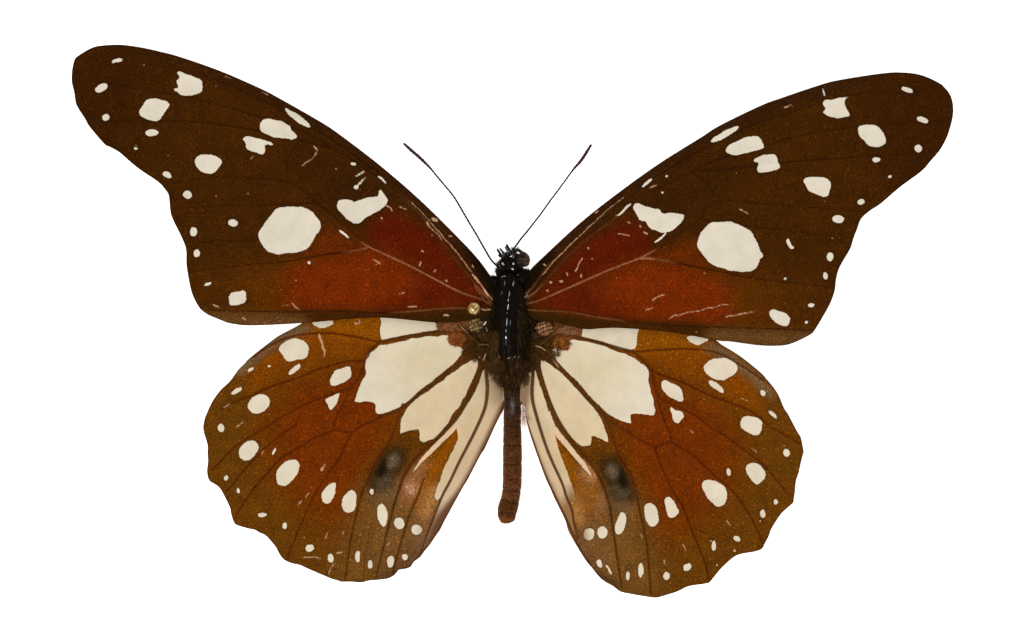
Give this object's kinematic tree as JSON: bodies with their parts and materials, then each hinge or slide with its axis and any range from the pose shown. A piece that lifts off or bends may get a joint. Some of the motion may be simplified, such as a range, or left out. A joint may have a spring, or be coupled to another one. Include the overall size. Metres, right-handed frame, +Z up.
{
  "type": "pinned spread butterfly specimen",
  "caption": "Dried butterfly with spread brown and cream spotted wings, lying back up on its folded legs, with a short round-headed pin through the root of its left forewing",
  "frame": {"origin": "on the surface that the insect lies on, under the middle of the spread wings", "axes": "+X to the insect's right wing tip, +Y towards its head, +Z up from its back"},
  "size_m": [0.0881, 0.055, 0.0072],
  "materials": {
    "forewing": "matte",
    "hindwing": "matte",
    "black_hair": "matte",
    "abdomen": "satin",
    "horn": "satin",
    "pin": "polished"
  },
  "bodies": {
    "root": {"head": "black_hair", "thorax": "black_hair", "abdomen": "abdomen", "forewing_left": "forewing", "forewing_right": "forewing", "hindwing_left": "hindwing", "hindwing_right": "hindwing", "antenna_left": "horn", "antenna_right": "horn", "proboscis": "horn", "foreleg_left": "horn", "foreleg_right": "horn", "midleg_left": "horn", "midleg_right": "horn", "hindleg_left": "horn", "hindleg_right": "horn", "pin": "pin"}
  },
  "joints": []
}
